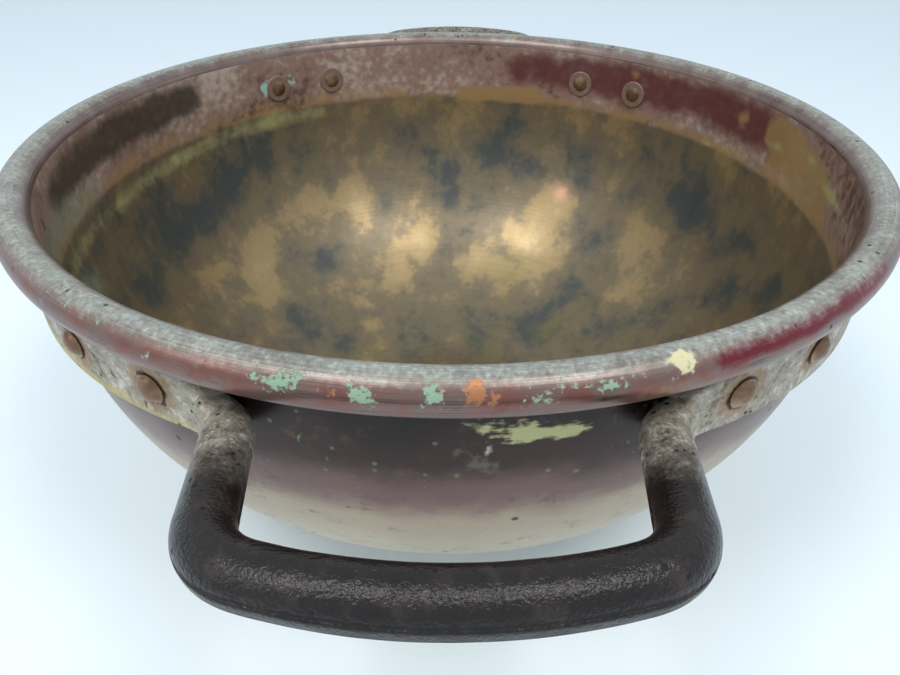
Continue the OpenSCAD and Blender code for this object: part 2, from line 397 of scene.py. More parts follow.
def inside_finish():
    """Scoured brass-gold lights and blue-black cooking stains, with a maroon band above."""
    skin = Finish("inside_patina", tone(150, 122, 82), 0.36, 0.8)
    broad = skin.cloud(60, detail=4, seed=1.3)
    middle = skin.cloud(20, detail=4, seed=4.1)
    fine = skin.cloud(5, detail=4, seed=7.7)
    smear = skin.cloud(26, detail=5, seed=9.4, stretch=(1, 1, 0.45), crisp=0.65)
    high = skin.mul(skin.fade(skin.drop, 42, 60), skin.fade(skin.drop, 112, 84), -0.12)
    level = skin.sum(skin.mul(skin.mark("gilt"), 0.75), high, skin.mul(broad, 0.25),
                     skin.mul(middle, 0.3), skin.mul(smear, 0.35), skin.mul(fine, 0.12))
    lightness = skin.fade(level, -1.75, 1.75)
    skin.colour = skin.shades(lightness, [
        (0.0, tone(44, 56, 66)), (0.28, tone(76, 80, 78)), (0.5, tone(120, 108, 86)),
        (0.68, tone(160, 138, 100)), (1.0, tone(186, 168, 132))])
    skin.metal = skin.blend(lightness, 0.3, 0.75)
    skin.rough = skin.blend(lightness, 0.42, 0.36)
    # Olive film low in the bowl, and a painted pink highlight where the light strikes
    olive = skin.mul(skin.fade(skin.drop, 120, 185), skin.fade(skin.cloud(34, seed=2.2), -0.2, 0.9))
    skin.coat(skin.mul(olive, 0.55), tone(112, 108, 66))
    skin.coat(skin.mul(skin.mark("painted_highlight"), 0.6), tone(235, 175, 150))
    # Upright band
    wander = skin.sum(skin.drop, skin.mul(middle, 2.5), skin.mul(fine, 1.0))
    band = skin.fade(wander, 40, 35)
    rusty = skin.grade(skin.sum(broad, skin.mul(fine, 0.6)), 1.4,
                       tone(86, 60, 54), tone(152, 124, 112), tone(196, 180, 168))
    skin.coat(band, rusty, 0.38, 0.25)
    crimson = skin.where(0.1, 1.1, skin.mark("crimson"), skin.mul(middle, 0.3),
                         skin.mul(smear, 0.3))
    skin.coat(skin.mul(band, crimson, 0.85), tone(104, 50, 56), 0.28, 0.4)
    brown = skin.where(0.1, 1.1, skin.mark("umber"), skin.mul(middle, 0.3), skin.mul(smear, 0.3))
    skin.coat(skin.mul(brown, 0.9), tone(64, 54, 46), 0.4, 0.3)
    ochre = skin.where(0.3, 0.75, skin.mark("ochre"), skin.mul(middle, 0.22), skin.mul(fine, 0.1))
    skin.coat(skin.mul(ochre, 0.85), tone(168, 136, 90), 0.36, 0.35)
    # Lime line left along the lower edge of the band
    line = skin.sum(skin.mark("lime"), skin.mul(middle, 0.16), skin.mul(smear, 0.2),
                    skin.mul(fine, 0.16))
    skin.coat(skin.mul(skin.fade(line, 0.2, 1.0), 0.85), tone(172, 170, 118), 0.5, 0.3, 0.05)
    haze = skin.where(0.1, 1.4, skin.mark("haze"), skin.mul(smear, 0.35), skin.mul(fine, 0.3))
    skin.coat(skin.mul(haze, 0.6), tone(140, 150, 128), 0.5, 0.3)
    mint = skin.where(0.45, 0.85, skin.mark("mint"), skin.mul(fine, 0.35), skin.mul(middle, 0.12))
    skin.coat(mint, tone(150, 188, 176), 0.75, 0.0, 0.15)
    skin.raise_by(skin.mul(fine, 0.012))
    skin.raise_by(skin.mul(skin.cloud(1.6, detail=2), 0.006))
    return skin.done()


def rim_finish():
    """Red-brown copper under a pale top, part grey film and part painted sky reflection, rubbed
    bare in flecks and crusted with verdigris.
    """
    skin = Finish("rim_patina", tone(112, 96, 92), 0.34, 0.55)
    streak = skin.along_rim(9, detail=4)
    fine = skin.cloud(2.4, detail=4, seed=3.3)
    middle = skin.cloud(11, detail=4, seed=5.2)
    skin.colour = skin.grade(skin.sum(streak, skin.mul(middle, 0.5)), 1.6,
                             tone(76, 58, 54), tone(122, 104, 98), tone(150, 142, 134))
    # The outer face is redder than the pale top of grey film and painted reflection
    outer = skin.where(roll_c - 1.2 * MM, roll_c + 5.8 * MM, skin.radius,
                       skin.mul(middle, 0.002))
    red = skin.mul(outer, skin.where(-0.6, 0.8, middle, skin.mul(streak, 0.6)))
    skin.coat(skin.mul(red, 0.8), tone(122, 62, 50), 0.3, 0.65)
    crimson = skin.where(0.3, 0.75, skin.mark("crimson"), skin.mul(middle, 0.3),
                         skin.mul(streak, 0.2))
    skin.coat(crimson, tone(110, 32, 44), 0.26, 0.6)
    grain = skin.cloud(1.3, detail=3, seed=6.1)
    # Patina and painted reflection: the top of the roll is coated pale grey-green, part grey film,
    # part the sky's reflection painted in
    film_and_sheen = skin.sum(skin.z, skin.mul(streak, 0.0012), skin.mul(middle, 0.0012),
                    skin.mul(fine, 0.0008))
    film_and_sheen = skin.fade(film_and_sheen, rim_z + 0.55 * roll_r, rim_z + 1.2 * roll_r)
    film_and_sheen_shades = skin.grade(skin.sum(fine, skin.mul(streak, 0.6), grain), 1.8,
                       tone(118, 126, 118), tone(150, 158, 150), tone(186, 192, 184))
    skin.coat(skin.mul(film_and_sheen, 0.9), film_and_sheen_shades, 0.48, 0.25)
    moss = skin.where(0.7, 1.5, middle, skin.mul(fine, 0.7), skin.mul(grain, 0.4))
    skin.coat(skin.mul(moss, 0.7), tone(88, 112, 92), 0.7, 0.1)
    stain = skin.where(0.5, 1.3, skin.cloud(15, detail=4, seed=6.8), skin.mul(fine, 0.5))
    skin.coat(skin.mul(stain, 0.75), tone(84, 62, 58), 0.4, 0.35)
    bare = skin.where(0.7, 0.9, skin.mul(skin.mark("bare"), 0.9), skin.mul(fine, 0.5),
                      skin.mul(grain, 0.3), skin.mul(streak, 0.2))
    skin.coat(bare, tone(172, 116, 80), 0.4, 0.5, -0.03)
    mint = skin.where(0.62, 0.95, skin.mul(skin.mark("mint"), 0.9), skin.mul(fine, 0.6),
                      skin.mul(grain, 0.4))
    skin.coat(mint, tone(134, 162, 138), 0.8, 0.0, 0.12)
    lime = skin.where(0.45, 0.75, skin.mark("lime"), skin.mul(fine, 0.4))
    skin.coat(lime, tone(196, 190, 150), 0.7, 0.0, 0.1)
    ochre = skin.where(0.4, 0.8, skin.mark("ochre"), skin.mul(fine, 0.3))
    skin.coat(skin.mul(ochre, 0.7), tone(150, 108, 66), 0.5, 0.3)
    scratches = skin.where(0.7, 1.2, skin.along_rim(3.2, seed=8), skin.mul(fine, 0.5))
    scuffs = skin.mul(skin.mark("scuff"), scratches)
    skin.coat(scuffs, tone(206, 204, 198), 0.5, 0.4)
    skin.coat(skin.specks(3.2, 0.06), tone(28, 24, 24), 0.6, 0.2, -0.08)
    skin.raise_by(skin.mul(fine, 0.02))
    return skin.done()


def outside_finish():
    """Painted shadow just under the rim, dark maroon below it, mauve on the round of the body, pale
    olive towards the foot.
    """
    skin = Finish("outside_patina", tone(96, 78, 74), 0.32, 0.5)
    broad = skin.cloud(55, detail=4, seed=11)
    middle = skin.cloud(16, detail=4, seed=12)
    fine = skin.cloud(3, detail=4, seed=13)
    depth = skin.sum(skin.drop, skin.mul(broad, 9), skin.mul(middle, 4))
    # Painted shadow: the wall just under the rim's curl starts near-black and fades to dark maroon
    # about 20 mm down
    skin.colour = skin.shades(skin.fade(depth, 0, 150), [
        (0.0, tone(22, 15, 13)), (0.14, tone(52, 34, 30)), (0.3, tone(104, 78, 74)),
        (0.5, tone(160, 142, 118)), (1.0, tone(190, 178, 152))])
    # Mottling: olive and maroon clouds and a scatter of small green and dark dots
    olive = skin.where(0.3, 1.2, middle, skin.mul(fine, 0.5))
    skin.coat(skin.mul(olive, 0.5), tone(96, 86, 58))
    maroon = skin.where(0.3, 1.1, skin.cloud(12, detail=4, seed=14), skin.mul(fine, 0.4))
    skin.coat(skin.mul(maroon, 0.6), tone(84, 40, 38))
    brushed = skin.cloud(2, detail=3, seed=15, stretch=(0.25, 0.25, 1))
    lime = skin.where(0.4, 0.7, skin.mark("lime"), skin.mul(fine, 0.15), skin.mul(brushed, 0.22))
    skin.coat(lime, tone(176, 173, 120), 0.5, 0.2)
    scuff = skin.where(0.6, 1.1, skin.mark("scuff"), skin.mul(fine, 0.4))
    skin.coat(skin.mul(scuff, 0.5), tone(112, 104, 88), 0.6, 0.2, 0.03)
    hairline = skin.where(0.5, 0.9, skin.mark("line"), skin.mul(fine, 0.2))
    skin.coat(hairline, tone(196, 188, 160), 0.6, 0.1)
    mint = skin.where(0.6, 0.8, skin.mark("mint"), skin.mul(fine, 0.4))
    skin.coat(mint, tone(96, 132, 84), 0.7, 0.0, 0.08)
    dots = skin.mul(skin.specks(3.4, 0.12, 7), skin.fade(skin.drop, 60, 40), 0.7)
    skin.coat(dots, tone(106, 118, 76), 0.6, 0.1)
    skin.coat(skin.specks(5, 0.05, 3), tone(30, 26, 28), 0.5, 0.2, -0.05)
    skin.raise_by(skin.mul(fine, 0.006))
    return skin.done()


bowl = grow("copper_bowl", section_mesh("bowl_section", bowl_section), bowl_tree(), {
    "Sides": BOWL_SIDES, "Dent Depth": 0.5 * MM, "Dent Size": 45 * MM,
    "First Roll Row": ROLL_FIRST, "Last Roll Row": ROLL_LAST,
    "Outside": outside_finish(), "Rim": rim_finish(), "Inside": inside_finish()})


def bowl_point(azimuth, drop, inset=SHEET):
    """The place on the wall at an azimuth and a drop below the rim's centre, in millimetres."""
    z = rim_z - drop * MM
    below = band_z - z
    if below <= 0:
        radius = wall_out - inset
    elif below <= (side_r - inset) * math.cos(meet_a):
        radius = side_x + math.sqrt((side_r - inset) ** 2 - below ** 2)
    else:
        radius = math.sqrt(max((bottom_r - inset) ** 2 - (bottom_z - z) ** 2, 0))
    angle = math.radians(azimuth)
    return (radius * math.sin(angle), -radius * math.cos(angle), z)


def roll_point(azimuth, lift):
    """The place on the roll at an azimuth and an angle up from its outermost line."""
    angle, up = math.radians(azimuth), math.radians(lift)
    radius = roll_c + roll_r * math.cos(up)
    return (radius * math.sin(angle), -radius * math.cos(angle), rim_z + roll_r * math.sin(up))


INSIDE = (ROLL_LAST, 10000)
OUTSIDE = (0, ROLL_FIRST - 1)
ROLL = (ROLL_FIRST, ROLL_LAST - 1)


def lay_marks(piece, name, zone, marks):
    """Keeps on the mesh how strongly each point is marked: (point, reach in mm, strength).
    A zone is the first and last row of the sheet that the marks may touch."""
    rows = np.empty(len(piece.data.vertices), dtype=np.float32)
    piece.data.attributes["row"].data.foreach_get("value", rows)
    points = np.empty(len(piece.data.vertices) * 3, dtype=np.float32)
    piece.data.vertices.foreach_get("co", points)
    points = points.reshape(-1, 3)
    total = np.zeros(len(points), dtype=np.float32)
    for point, reach, strength in marks:
        gap = np.linalg.norm(points - np.array(point, dtype=np.float32), axis=1) / (reach * MM)
        total += strength * np.exp(-1.4 * gap ** 2)
    total = np.clip(total, -1.2, 1.2) * ((rows >= zone[0] - 0.5) & (rows <= zone[1] + 0.5))
    layer = piece.data.attributes.get(name) or piece.data.attributes.new(name, "FLOAT", "POINT")
    old = np.empty(len(points), dtype=np.float32)
    layer.data.foreach_get("value", old)
    layer.data.foreach_set("value", old + total)


def along(path, reach, strength, step=4, place=bowl_point):
    """Marks set close together along a path of (azimuth, height) corners."""
    marks = []
    for (a0, d0), (a1, d1) in zip(path, path[1:]):
        count = max(1, round(max(abs(a1 - a0) * 3.5, abs(d1 - d0)) / step))
        for i in range(count + 1):
            t = i / count
            marks.append((place(a0 + (a1 - a0) * t, d0 + (d1 - d0) * t), reach, strength))
    return marks


# Patches on the inside, as azimuth and drop: bright ones, softer ones, and dark stains
BRIGHT = [(-120, 130), (-155, 110), (-170, 145), (150, 110), (155, 140), (170, 150)]
SOFT = [(-125, 120), (-110, 115), (-140, 110), (-150, 75), (-155, 90), (180, 75), (-175, 120),
        (145, 145), (125, 110), (155, 160), (120, 145), (-145, 180), (-115, 145), (-160, 165),
        (175, 45), (150, 40), (-170, 45)]
DARK = [(-105, 90), (-115, 90), (-125, 75), (-135, 60), (-145, 70), (-150, 90), (-90, 100),
        (-130, 135), (-140, 145), (-120, 160), (-125, 180), (-150, 185), (180, 115), (180, 95),
        (170, 80), (160, 90), (170, 180), (140, 175), (120, 75), (100, 80), (115, 85),
        (135, 125), (130, 140), (135, 155), (95, 105), (105, 140), (85, 90)]
lay_marks(bowl, "gilt", INSIDE, [(bowl_point(*place), reach, strength)
                                 for patches, reach, strength in (
                                     (BRIGHT, 20, 0.85), (SOFT, 18, 0.45), (DARK, 16, -0.6))
                                 for place in patches])
# A painted highlight: a small pink spot on the far wall where a lamp's reflection falls
lay_marks(bowl, "painted_highlight", INSIDE, [(bowl_point(150, 103), 7, 1.0)])
lay_marks(bowl, "crimson", INSIDE, along([(166, 14), (100, 14)], 14, 0.3))
lay_marks(bowl, "umber", INSIDE, along([(-75, 14), (-122, 12)], 13, 0.3))
lay_marks(bowl, "ochre", INSIDE, along([(103, 12), (84, 24)], 12, 0.5)
          + [(bowl_point(138, 8), 6, 0.8), (bowl_point(111, 13), 9, 0.8)]
          + along([(-170, 34), (178, 36), (160, 34)], 7, 0.25))
lay_marks(bowl, "lime", INSIDE,
          along([(-70, 50), (-96, 50), (-114, 46), (-138, 43), (-150, 43)], 8, 0.2)
          + along([(130, 34), (118, 36), (110, 35), (105, 21), (101, 17), (95, 25)], 3, 0.5)
          + along([(92, 13), (80, 20), (66, 21)], 4, 0.6))
lay_marks(bowl, "haze", INSIDE, along([(-60, 22), (-92, 34)], 12, 0.3)
          + along([(-70, 62), (-80, 70)], 12, 0.3))
lay_marks(bowl, "mint", INSIDE, [(bowl_point(-138, 18), 8, 1.0), (bowl_point(-144, 16), 6, 1.0),
                                 (bowl_point(-155, 22), 6, 0.7)])
lay_marks(bowl, "crimson", ROLL, along([(22, 40), (39, 42), (48, 45)], 5, 0.5, place=roll_point)
          + along([(10, -25), (-4, 45)], 4, 0.1, place=roll_point))
lay_marks(bowl, "ochre", ROLL, along([(15, -10), (20, 0)], 4, 0.5, place=roll_point))
lay_marks(bowl, "lime", ROLL, [(roll_point(19, 58), 6, 1.0)])
lay_marks(bowl, "mint", ROLL, [(roll_point(a, lift), 5, s) for a, lift, s in (
    (-12, 53, 0.9), (-7, 36, 0.8), (-6, 17, 0.9), (-1, 30, 0.7), (7, 16, 0.9), (9, 45, 0.7),
    (12, 26, 0.9), (-13, 25, 0.9), (-15, 40, 0.8), (-25, 20, 0.7), (14, 38, 0.8), (18, 20, 0.6),
    (-1, 48, 0.7), (5, 40, 0.6), (-39, 24, 0.7), (-36, 32, 0.6), (-31, 56, 0.5), (-34, 5, 0.5))])
lay_marks(bowl, "bare", ROLL, [(roll_point(a, lift), 5, 0.8) for a, lift in (
    (2, 51), (2, 24), (4, 20), (16, -8), (-9, 30), (8, 12))])
lay_marks(bowl, "scuff", ROLL, along([(18, 75), (50, 75)], 6, 0.6, place=roll_point)
          + along([(-19, 57), (-20, 34)], 2.5, 0.8, place=roll_point))


def skin_point(azimuth, drop):
    """The place on the outside of the wall."""
    return bowl_point(azimuth, drop, 0)


lay_marks(bowl, "lime", OUTSIDE, along([(2, 20), (7, 23), (13, 25)], 5, 0.5, place=skin_point))
lay_marks(bowl, "scuff", OUTSIDE, along([(0, 29), (3, 36), (6, 44)], 6, 0.4, place=skin_point))
lay_marks(bowl, "line", OUTSIDE, along([(2, 27), (5, 33), (8, 44)], 1.4, 0.6, 1, place=skin_point))
lay_marks(bowl, "mint", OUTSIDE, [(skin_point(a, d), 3, 0.8) for a, d in (
    (-9, 24), (-7, 32), (-5, 43), (-14, 31), (-11, 38), (-3, 29))])
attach(bowl, "root")
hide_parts("bowl_shell")


# ---------------------------------------------------------------------------
# The rim wire. A ring of plain iron wire, closed inside the curl of the sheet,
# which it stiffens. It is bright where it was drawn and dull everywhere else.
# ---------------------------------------------------------------------------
def wire_finish():
    skin = Finish("drawn_iron_wire", tone(104, 98, 94), 0.5, 0.8)
    skin.coat(skin.fade(skin.cloud(6, detail=4), -0.2, 0.9), tone(92, 58, 40), 0.8, 0.2, 0.03)
    return skin.done()


rim_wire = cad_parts["rim_wire"]
rim_wire.data.materials.clear()
rim_wire.data.materials.append(wire_finish())


# ---------------------------------------------------------------------------
# The handles. Each is one iron bar, forged round for the hand, bent at two
# corners, turned at the wall by an elbow and beaten out flat along it. The
# ends are riveted on. The iron is nearly black, and pitted near the wall.
# ---------------------------------------------------------------------------
handle_low, handle_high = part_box("front_handle")
BAR_R = 8.5 * MM
LEG_SPACING = 140 * MM
LEG_LEAN = math.radians(9)
LEG_DROP = 25 * MM
GRIP_DROP = 9 * MM
GRIP_BOW = 12.5 * MM
CORNER_R = 22 * MM
ELBOW_R = 14 * MM
FLANGE_T = 6.5 * MM
FLANGE_L = 134 * MM
FLANGE_GAP = 1.5 * MM
FLANGE_W = (25.5 * MM, 30 * MM)
TIP_R = 11 * MM
RING_STEP = 1.1 * MM
SKIN_PLAY = 0.15 * MM
THIN_BEFORE = 4 * MM
THIN_AFTER = 16 * MM

flange_mid = wall_out + FLANGE_T / 2
leg_x = LEG_SPACING / 2
leg_y = math.sqrt(flange_mid ** 2 - leg_x ** 2)
leg_a = math.asin(leg_x / flange_mid)
grip_y = -handle_low.y - BAR_R
tilt = math.atan2(LEG_DROP - GRIP_DROP, grip_y - leg_y)
grip_v = (grip_y - leg_y) / math.cos(tilt)
corner_x = leg_x - (grip_v - GRIP_BOW) * math.tan(LEG_LEAN)
grip_r = (corner_x ** 2 + GRIP_BOW ** 2) / (2 * GRIP_BOW)
grip_c = grip_v - grip_r
lean_line = np.array([-math.sin(LEG_LEAN), math.cos(LEG_LEAN)])
from_grip = np.array([leg_x - CORNER_R * math.cos(LEG_LEAN),
                      -CORNER_R * math.sin(LEG_LEAN) - grip_c])
on_line = from_grip @ lean_line
leg_end = math.sqrt(on_line ** 2 - from_grip @ from_grip + (grip_r - CORNER_R) ** 2) - on_line
corner_c = from_grip + leg_end * lean_line
grip_a = math.atan2(corner_c[1], corner_c[0])
elbow_turn = math.pi / 2 - LEG_LEAN - leg_a - ELBOW_R / flange_mid
leg_start = ELBOW_R * (math.sin(LEG_LEAN + elbow_turn) - math.sin(LEG_LEAN))
elbow_c = (leg_x - leg_start * math.tan(LEG_LEAN) + ELBOW_R * math.cos(LEG_LEAN),
           leg_start + ELBOW_R * math.sin(LEG_LEAN))


def smooth_step(value, low, high):
    t = min(max((value - low) / (high - low), 0), 1)
    return t * t * (3 - 2 * t)


def half_path():
    """Points from the middle of the grip to the tip of a flange, and where the elbow is."""
    flat = arc((0, grip_c), grip_r, math.pi / 2, grip_a, 40)
    flat += arc((corner_c[0], corner_c[1] + grip_c), CORNER_R, grip_a, LEG_LEAN, 40)[1:]
    leg_points = len(flat)
    flat += arc(elbow_c, ELBOW_R, math.pi + LEG_LEAN, math.pi + LEG_LEAN + elbow_turn, 24)
    path = [Vector((u, leg_y + v * math.cos(tilt), rim_z - LEG_DROP + v * math.sin(tilt)))
            for u, v in flat]
    start = math.atan2(path[-1].x, path[-1].y)
    stop = leg_a + FLANGE_L / flange_mid
    for i in range(1, 121):
        a = start + (stop - start) * i / 120
        path.append(Vector((flange_mid * math.sin(a), flange_mid * math.cos(a), path[-1].z)))
    return path, leg_points


def bar_stations():
    """Evenly spaced rings along half of the bar: centre, the section's sizes and corner, distance
    along the bar, and how flat it is.
    """
    path, leg_points = half_path()
    reach = [0.0]
    for a, b in zip(path, path[1:]):
        reach.append(reach[-1] + (b - a).length)
    elbow_s = reach[leg_points]
    root_s = reach[leg_points + 24]
    flat_s = root_s + THIN_AFTER
    total = reach[-1]
    count = round(total / RING_STEP)
    top = rim_z - roll_r - FLANGE_GAP
    stations = []
    for i in range(count + 1):
        s = total * i / count
        centre = Vector([np.interp(s, reach, [p[k] for p in path]) for k in range(3)])
        flat = smooth_step(s, elbow_s - THIN_BEFORE, flat_s)
        wide = smooth_step(s, elbow_s + THIN_BEFORE, flat_s + 6 * MM)
        past = smooth_step(s, root_s, total)
        width = FLANGE_W[0] + (FLANGE_W[1] - FLANGE_W[0]) * past
        up_size = BAR_R + (width / 2 - BAR_R) * wide
        across = BAR_R + (FLANGE_T / 2 - BAR_R) * flat
        centre.z += (top - width / 2 - centre.z) * wide
        corner = min(across, up_size) * (1 - 0.4 * flat)
        left = total - s
        if left < TIP_R:
            up_size -= TIP_R - math.sqrt(TIP_R ** 2 - (TIP_R - left) ** 2)
        stations.append([centre, across, up_size, min(corner, up_size), s, flat])
    stations[-1][1] *= 0.72
    stations[-1][2] *= 0.9
    return stations


def ring_outline(across, up_size, corner):
    """A rounded rectangle about the origin, as pairs of across and up."""
    outline = []
    for quarter, (sx, sy) in enumerate(((1, 1), (-1, 1), (-1, -1), (1, -1))):
        centre = (sx * (across - corner), sy * (up_size - corner))
        outline += arc(centre, corner, quarter * math.pi / 2, (quarter + 1) * math.pi / 2, 9)
        following = ((-1, 1), (-1, -1), (1, -1), (1, 1))[quarter]
        end = (following[0] * (across - corner), following[1] * (up_size - corner))
        steps = 1 if quarter in (0, 2) else 5
        outward = (math.cos((quarter + 1) * math.pi / 2), math.sin((quarter + 1) * math.pi / 2))
        for i in range(1, steps + 1):
            t = i / (steps + 1)
            outline.append((centre[0] + (end[0] - centre[0]) * t + corner * outward[0],
                            centre[1] + (end[1] - centre[1]) * t + corner * outward[1]))
    return outline


FASTENERS = [f"{end}_{side}_{place}" for end in ("front", "rear")
             for side in ("left", "right") for place in ("inner", "outer")]


def seats(kind, radius):
    """The middles of the CAD pieces of a kind, carried to a radius from the bowl's axis."""
    found = []
    for name in FASTENERS:
        low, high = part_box(f"{name}_{kind}")
        heading = Vector((low.x + high.x, low.y + high.y, 0)).normalized()
        found.append(heading * radius + Vector((0, 0, (low.z + high.z) / 2)))
    return found


rivet_seats = seats("rivet", wall_out + FLANGE_T)


def forged_handle(name, turn, seed):
    """The bar as one sweep, with the slight lumps of forging, turned about the bowl's axis."""
    half = bar_stations()
    mirrored = [[Vector((-c.x, c.y, c.z)), a, u, r, -s, f] for c, a, u, r, s, f in half[:0:-1]]
    stations = mirrored + half
    centres = [s[0] for s in stations]
    plane_up = Vector((0, -math.sin(tilt), math.cos(tilt)))
    mesh = bmesh.new()
    travel = mesh.verts.layers.float.new("travel")
    under = mesh.verts.layers.float.new("under")
    near_rivet = mesh.verts.layers.float.new("near_rivet")
    rings = []
    for i, (centre, across, up_size, corner, s, flat) in enumerate(stations):
        before = centres[max(i - 2, 0)]
        after = centres[min(i + 2, len(centres) - 1)]
        heading = (after - before).normalized()
        up = plane_up.lerp(Vector((0, 0, 1)), flat)
        side = heading.cross(up).normalized()
        up = side.cross(heading).normalized()
        ring = []
        for a, u in ring_outline(across, up_size, corner):
            out = (side * a + up * u)
            place = centre + out
            lump = noise.noise(place * 45 + Vector((seed, 0, 0))) * 0.5
            lump += noise.noise(place * 160 + Vector((0, seed, 0))) * 0.3
            place += out.normalized() * (lump - 1) * SKIN_PLAY
            radius = math.hypot(place.x, place.y)
            if radius < wall_out:
                place.x *= wall_out / radius
                place.y *= wall_out / radius
            vert = mesh.verts.new(place)
            vert[travel] = s
            # How far each point faces down, used for painted shade on the underside
            vert[under] = -out.normalized().z
            ring.append(vert)
        rings.append(ring)
    sides = len(rings[0])
    for low, high in zip(rings, rings[1:]):
        for k in range(sides):
            mesh.faces.new((low[k], low[(k + 1) % sides], high[(k + 1) % sides], high[k]))
    mesh.faces.new(rings[0][::-1])
    mesh.faces.new(rings[-1])
    spin = math.cos(turn), math.sin(turn)
    for vert in mesh.verts:
        x, y = vert.co.x, vert.co.y
        vert.co.x, vert.co.y = x * spin[0] - y * spin[1], x * spin[1] + y * spin[0]
        vert[near_rivet] = min((vert.co - seat).length for seat in rivet_seats) / MM
    bmesh.ops.recalc_face_normals(mesh, faces=mesh.faces)
    for face in mesh.faces:
        face.smooth = True
    data = bpy.data.meshes.new(name)
    mesh.to_mesh(data)
    mesh.free()
    piece = bpy.data.objects.new(name, data)
    bpy.context.collection.objects.link(piece)
    return piece


def iron_finish(name, dust):
    """Black-brown oiled iron on the grip, dusty legs, and worn, copper-stained flanges. More
    dust, from 0 to 1, covers the grip too."""
    skin = Finish(name, tone(22, 17, 16), 0.24, 0.1)
    grain = skin.cloud(1.1, detail=3, seed=1)
    fine = skin.cloud(3.5, detail=4, seed=2)
    middle = skin.cloud(12, detail=4, seed=3)
    travel = calc(skin.tree, "ABSOLUTE", skin.mark("travel"))
    skin.colour = skin.grade(skin.sum(middle, skin.mul(fine, 0.7)), 1.8,
                             tone(14, 10, 10), tone(26, 20, 19), tone(52, 42, 38))
    # Painted shade: faces that look down are darkened almost to black and made rougher
    skin.coat(skin.where(-0.1, 0.7, skin.mark("under"), skin.mul(middle, 0.15)),
              tone(8, 5, 5), 0.85)
    # Legs: speckled grey dust, rust in patches
    leg = skin.where(0.078, 0.108, travel, skin.mul(middle, 0.008))
    leg = calc(skin.tree, "MAXIMUM", leg, dust)
    dusty = skin.grade(skin.sum(fine, skin.mul(grain, 0.9)), 1.6,
                       tone(70, 60, 54), tone(138, 130, 118), tone(206, 198, 184))
    skin.coat(skin.mul(leg, 0.8), dusty, 0.62, 0.1)
    rust = skin.mul(leg, skin.where(0.4, 1.2, middle, skin.mul(fine, 0.5)))
    skin.coat(skin.mul(rust, 0.75), tone(132, 92, 54), 0.8, 0.05)
    # Flanges: pale worn metal from the top of the leg on, with a yellow stain low down
    flange = skin.where(0.102, 0.126, travel, skin.mul(middle, 0.006))
    worn = skin.grade(skin.sum(fine, skin.mul(middle, 0.7), skin.mul(grain, 0.5)), 1.8,
                      tone(96, 84, 68), tone(156, 148, 132), tone(206, 202, 190))
    skin.coat(skin.mul(flange, 0.9), worn, 0.58, 0.25)
    lower = skin.mul(flange, skin.where(29, 35, skin.drop, skin.mul(middle, 2.5)))
    skin.coat(skin.mul(lower, skin.facing(-42, 26), 0.85), tone(178, 160, 92), 0.5, 0.3)
    # Ochre rings bleed out from the rivets; the dark ring close around each head is painted shade
    # where the head meets the iron
    gap = skin.sum(skin.mark("near_rivet"), skin.mul(fine, 1.2))
    skin.coat(skin.mul(skin.fade(gap, 12.5, 8), 0.6), tone(140, 100, 58), 0.6, 0.15)
    skin.coat(skin.mul(skin.fade(gap, 7.6, 6.6), 0.85), tone(40, 30, 26), 0.7, 0.1)
    skin.coat(skin.specks(2.6, 0.1), tone(16, 12, 12), 0.7, 0.1, -0.25)
    skin.raise_by(skin.mul(grain, 0.1))
    skin.raise_by(skin.mul(fine, 0.06))
    return skin.done(0.4)


rear_rivets = [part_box("rear_left_inner_rivet"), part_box("rear_right_inner_rivet")]
rear_turn = sum(math.atan2(-(low.x + high.x), low.y + high.y) for low, high in rear_rivets) / 2
for name, node, turn, seed, dust in (
        ("front_carrying_handle", "front_handle", math.pi, 3.7, 0.0),
        ("rear_carrying_handle", "rear_handle", rear_turn, 8.1, 0.75)):
    handle = forged_handle(name, turn, seed)
    handle.data.materials.append(iron_finish(node + "_iron", dust))
    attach(handle, "root")
    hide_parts(node)


# ---------------------------------------------------------------------------
# Rivets and washers. Eight copper rivets hold the flanges: a domed head with a
# thin brim outside, a shank through flange and sheet, and a tail hammered over
# a washer inside the bowl. No two sit quite alike.
# ---------------------------------------------------------------------------
SHANK_R = 4 * MM
DOME_R = 5.2 * MM
DOME_H = 2.6 * MM
BRIM_R = 6 * MM
BRIM_T = 0.8 * MM
BURR_R = 9 * MM
BURR_T = 1.2 * MM
TAIL_R = 5.3 * MM
TAIL_H = 1.2 * MM
burr_seat = math.sqrt(wall_in ** 2 - BURR_R ** 2)
flange_out = wall_out + FLANGE_T


def dome_section(radius, height, count):
    """Half section of a dome from its edge to its top."""
    ball = (radius ** 2 + height ** 2) / (2 * height)
    edge = math.asin(radius / ball)
    return [(ball * math.sin(edge * (1 - i / count)),
             ball * math.cos(edge * (1 - i / count)) - ball + height) for i in range(count + 1)]


def rivet_section():
    """From the top of the tail inside the bowl, along the shank, to the top of the head."""
    tail_z = burr_seat - BURR_T - flange_out
    tail = [(r, tail_z - z) for r, z in dome_section(TAIL_R, TAIL_H, 7)][::-1]
    brim = [(SHANK_R, 0), (BRIM_R - 0.2 * MM, 0), (BRIM_R, 0.2 * MM), (BRIM_R, 0.55 * MM),
            (BRIM_R - 0.3 * MM, BRIM_T), (DOME_R + 0.15 * MM, BRIM_T)]
    head = [(r, BRIM_T + z) for r, z in dome_section(DOME_R, DOME_H, 12)]
    return tail + [(SHANK_R, tail_z)] + brim + head


def burr_section():
    """A washer with a softened edge."""
    seat = burr_seat - BURR_T
    soft = 0.5 * MM
    return [(SHANK_R, seat), (BURR_R - soft, seat), (BURR_R - 0.15 * MM, seat + 0.15 * MM),
            (BURR_R, seat + soft), (BURR_R, burr_seat), (SHANK_R, burr_seat), (SHANK_R, seat)]


